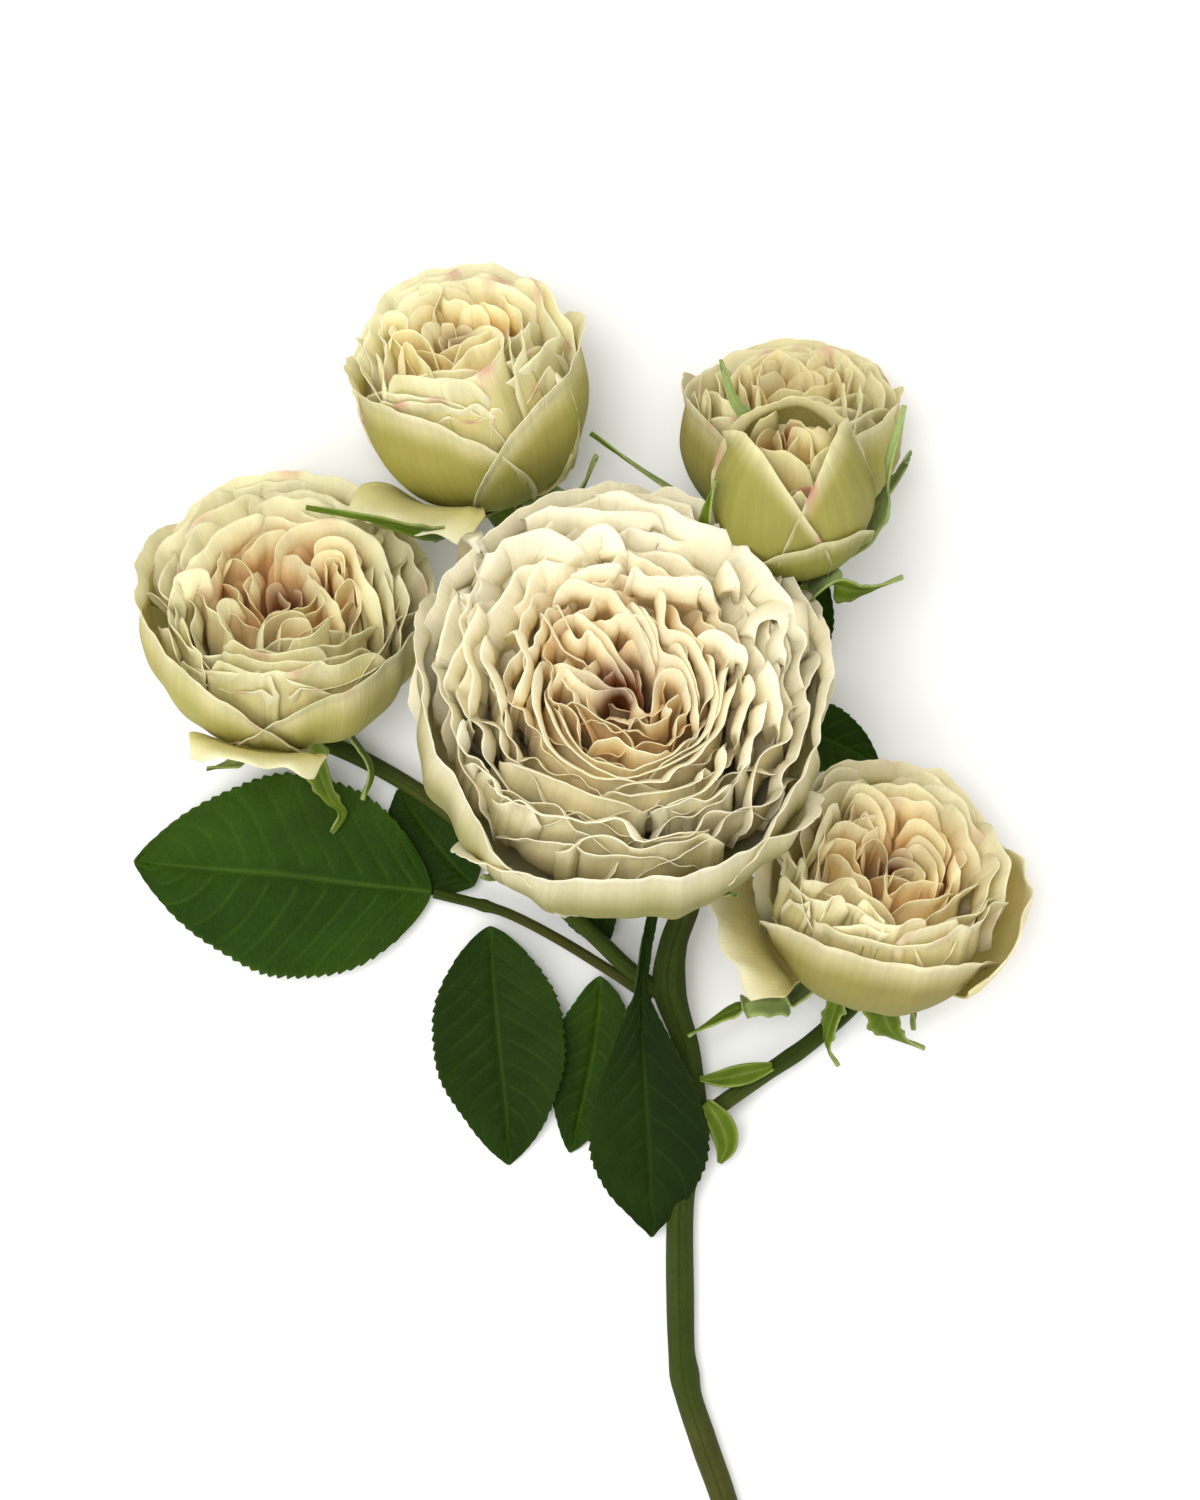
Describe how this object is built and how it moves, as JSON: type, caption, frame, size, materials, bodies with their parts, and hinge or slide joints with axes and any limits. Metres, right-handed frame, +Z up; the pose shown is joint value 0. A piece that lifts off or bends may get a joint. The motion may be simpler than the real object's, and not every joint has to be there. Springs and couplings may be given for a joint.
{
  "type": "cut rose",
  "caption": "Cut stem of a spray garden rose lying on its back, with cupped blooms, a bud, sepals and leaves.",
  "frame": {"origin": "middle of the underside of the bounding box, on the surface that the rose lies on", "axes": "+Y runs along the stem from its cut end towards the blooms, +Z is up from the surface, +X is to the right when it is seen from above with the blooms at the top"},
  "size_m": [0.16, 0.2738, 0.0798],
  "materials": {
    "stem": "smooth green bark, satin, with paler and browner patches",
    "leaf": "waxy leaf, satin above and paler and matt below, with veins",
    "sepal": "matt green sepal and hip with a pale edge",
    "outer_petal": "soft cream petal, green towards its base, pink specks at its tip",
    "inner_petal": "soft cream petal, peach in the depth of the bloom"
  },
  "bodies": {
    "root": {"back_bloom_calyx": "sepal", "back_bloom_guard_petal_1": "outer_petal", "back_bloom_guard_petal_2": "outer_petal", "back_bloom_guard_petal_3": "outer_petal", "back_bloom_inner_petals": "inner_petal", "back_bloom_middle_petals": "inner_petal", "back_stalk": "stem", "bud_calyx": "sepal", "bud_guard_petal_1": "outer_petal", "bud_guard_petal_2": "outer_petal", "bud_guard_petal_3": "outer_petal", "bud_guard_petal_4": "outer_petal", "bud_inner_petals": "inner_petal", "bud_stalk": "stem", "center_bloom_calyx": "sepal", "center_bloom_guard_petal_1": "outer_petal", "center_bloom_guard_petal_2": "outer_petal", "center_bloom_guard_petal_3": "outer_petal", "center_bloom_guard_petal_4": "outer_petal", "center_bloom_guard_petal_5": "outer_petal", "center_bloom_inner_petals": "inner_petal", "center_bloom_middle_petals": "inner_petal", "center_stalk": "stem", "front_leaf": "leaf", "left_bloom_calyx": "sepal", "left_bloom_guard_petal_1": "outer_petal", "left_bloom_guard_petal_2": "outer_petal", "left_bloom_guard_petal_3": "outer_petal", "left_bloom_guard_petal_4": "outer_petal", "left_bloom_inner_petals": "inner_petal", "left_bloom_middle_petals": "inner_petal", "left_leaf_stalk": "stem", "left_leaflet_down": "leaf", "left_leaflet_end": "leaf", "left_leaflet_low": "leaf", "left_leaflet_under": "leaf", "left_leaflet_up": "leaf", "left_stalk": "stem", "main_stem": "stem", "right_bloom_calyx": "sepal", "right_bloom_guard_petal_1": "outer_petal", "right_bloom_guard_petal_2": "outer_petal", "right_bloom_guard_petal_3": "outer_petal", "right_bloom_guard_petal_4": "outer_petal", "right_bloom_inner_petals": "inner_petal", "right_bloom_middle_petals": "inner_petal", "right_leaf_base": "leaf", "right_leaf_lower": "leaf", "right_leaf_upper": "leaf", "right_stalk": "stem", "right_stalk_bract": "leaf", "upper_left_bloom_calyx": "sepal", "upper_left_bloom_guard_petal_1": "outer_petal", "upper_left_bloom_guard_petal_2": "outer_petal", "upper_left_bloom_guard_petal_3": "outer_petal", "upper_left_bloom_guard_petal_4": "outer_petal", "upper_left_bloom_inner_petals": "inner_petal", "upper_left_bloom_middle_petals": "inner_petal", "upper_left_stalk": "stem"}
  },
  "joints": []
}
